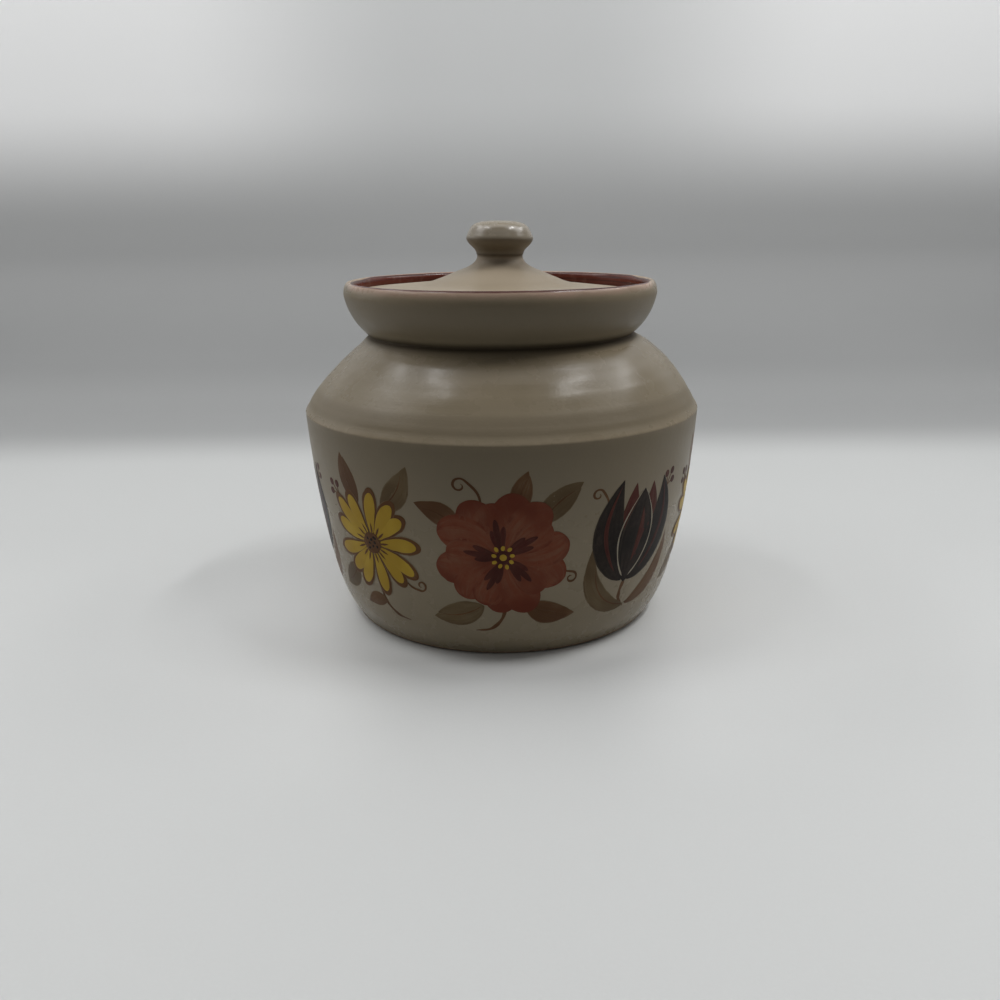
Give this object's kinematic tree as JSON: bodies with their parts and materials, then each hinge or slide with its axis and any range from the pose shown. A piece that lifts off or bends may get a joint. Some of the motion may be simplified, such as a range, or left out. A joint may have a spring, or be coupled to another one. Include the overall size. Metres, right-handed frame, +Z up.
{
  "type": "cookie jar",
  "caption": "Round stoneware cookie jar with a sharp shoulder, a flared collar and a knobbed lid that sits inside the collar and lifts off.",
  "frame": {"origin": "centre of the foot, on the surface that the jar stands on", "axes": "+Z up along the jar's axis; the jar is round, so +X is to the right in the picture's view and -Y towards the viewer"},
  "size_m": [0.2, 0.2, 0.1963],
  "materials": {
    "jar_glaze": "satin warm grey glaze with a red-brown band round the collar and hand-painted sprigs on the belly",
    "lid_glaze": "satin warm grey glaze",
    "knob_glaze": "glossy warm grey glaze"
  },
  "bodies": {
    "jar": {"jar_body": "jar_glaze"},
    "lid": {"lid": "lid_glaze", "lid_knob": "knob_glaze"}
  },
  "joints": [
    {"name": "lid_lift", "type": "slide", "parent": "jar", "child": "lid", "axis": [0, 0, 1], "range_m": [0, 0.06]}
  ]
}
